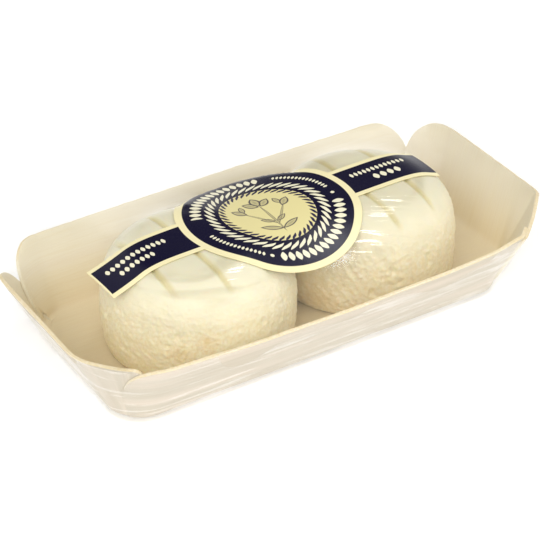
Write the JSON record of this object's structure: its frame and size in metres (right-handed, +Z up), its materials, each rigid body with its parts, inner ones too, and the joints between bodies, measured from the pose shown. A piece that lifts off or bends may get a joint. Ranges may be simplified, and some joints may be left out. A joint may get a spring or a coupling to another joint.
{
  "type": "film-wrapped pack of fresh goat cheeses",
  "caption": "Soft goat cheeses side by side in a shallow pressed-veneer tray, wrapped in clear film with a printed paper band label on top.",
  "frame": {"origin": "on the ground under the middle of the tray", "axes": "+Z up, +X along the length of the tray, the long side with the deeper bow at -Y"},
  "size_m": [0.1586, 0.086, 0.0343],
  "materials": {
    "tray": "bare peeled poplar veneer, pressed, matt",
    "cheese": "moist fresh goat curd, smooth crown and grainy side",
    "film": "clear glossy shrink film",
    "label": "coated printed paper, navy with cream borders"
  },
  "bodies": {
    "root": {"tray": "tray", "cheese_left": "cheese", "cheese_right": "cheese", "film": "film", "label": "label"}
  },
  "joints": []
}
